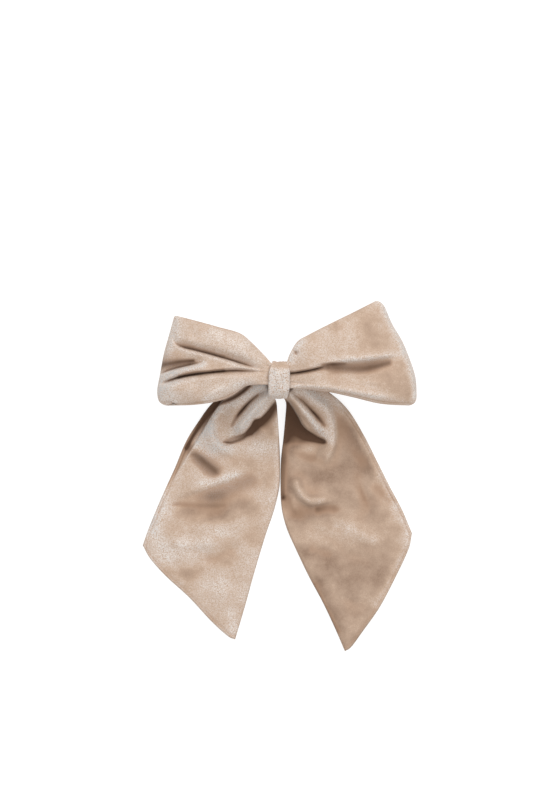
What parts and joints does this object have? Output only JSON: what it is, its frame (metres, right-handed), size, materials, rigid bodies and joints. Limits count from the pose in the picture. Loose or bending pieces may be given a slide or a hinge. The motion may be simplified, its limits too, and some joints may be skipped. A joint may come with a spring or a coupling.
{
  "type": "bow barrette",
  "caption": "Velvet bow with puffed loops and long slanted tails, gathered in a knot wrap and sewn to a sprung clip that hinges open and snaps shut on hair.",
  "frame": {"origin": "middle of the clip's grip on hair, halfway between the tension bar and the closed arm, under the knot", "axes": "+X along the clip from its hinge to its catch, +Y from the tails towards the loops, +Z out of the bow's face; the wearer's head is towards -Z"},
  "size_m": [0.1383, 0.1755, 0.0322],
  "materials": {
    "velvet": "crushed taupe velvet",
    "velvet_knot": "crushed taupe velvet, brushed light",
    "thread": "polyester sewing thread",
    "clip_steel": "nickel-plated spring steel",
    "pin_steel": "bright nickel plate"
  },
  "bodies": {
    "bow_and_plate": {"base_plate": "clip_steel", "hinge_pin": "pin_steel", "catch_plate": "clip_steel", "catch_rivet": "pin_steel", "bow_loops": "velvet", "bow_tails": "velvet", "knot_wrap": "velvet_knot", "wrap_stitches": "thread", "tack_threads": "thread"},
    "arm": {"closing_arm": "clip_steel"},
    "bar": {"tension_bar": "clip_steel"},
    "finger_upper": {"catch_finger_upper": "clip_steel"},
    "finger_lower": {"catch_finger_lower": "clip_steel"}
  },
  "joints": [
    {"name": "arm_hinge", "type": "hinge", "parent": "bow_and_plate", "child": "arm", "pos_m": [-0.037, 0, -0.0033], "axis": [0, 1, 0], "range_deg": [0, 75]},
    {"name": "bar_flex", "type": "slide", "parent": "bow_and_plate", "child": "bar", "axis": [0, 0, 1], "range_m": [0, 0.0015], "stiffness_N_per_m": 2000, "springref_m": -0.0005, "deforming": ["tension_bar"]},
    {"name": "finger_upper_flex", "type": "hinge", "parent": "bow_and_plate", "child": "finger_upper", "pos_m": [0.036, 0.00235, 0.00198], "axis": [-1, 0, 0], "range_deg": [0, 9], "stiffness_Nm_per_rad": 0.3},
    {"name": "finger_lower_flex", "type": "hinge", "parent": "bow_and_plate", "child": "finger_lower", "pos_m": [0.036, -0.00235, 0.00198], "axis": [1, 0, 0], "range_deg": [0, 9], "stiffness_Nm_per_rad": 0.3}
  ]
}
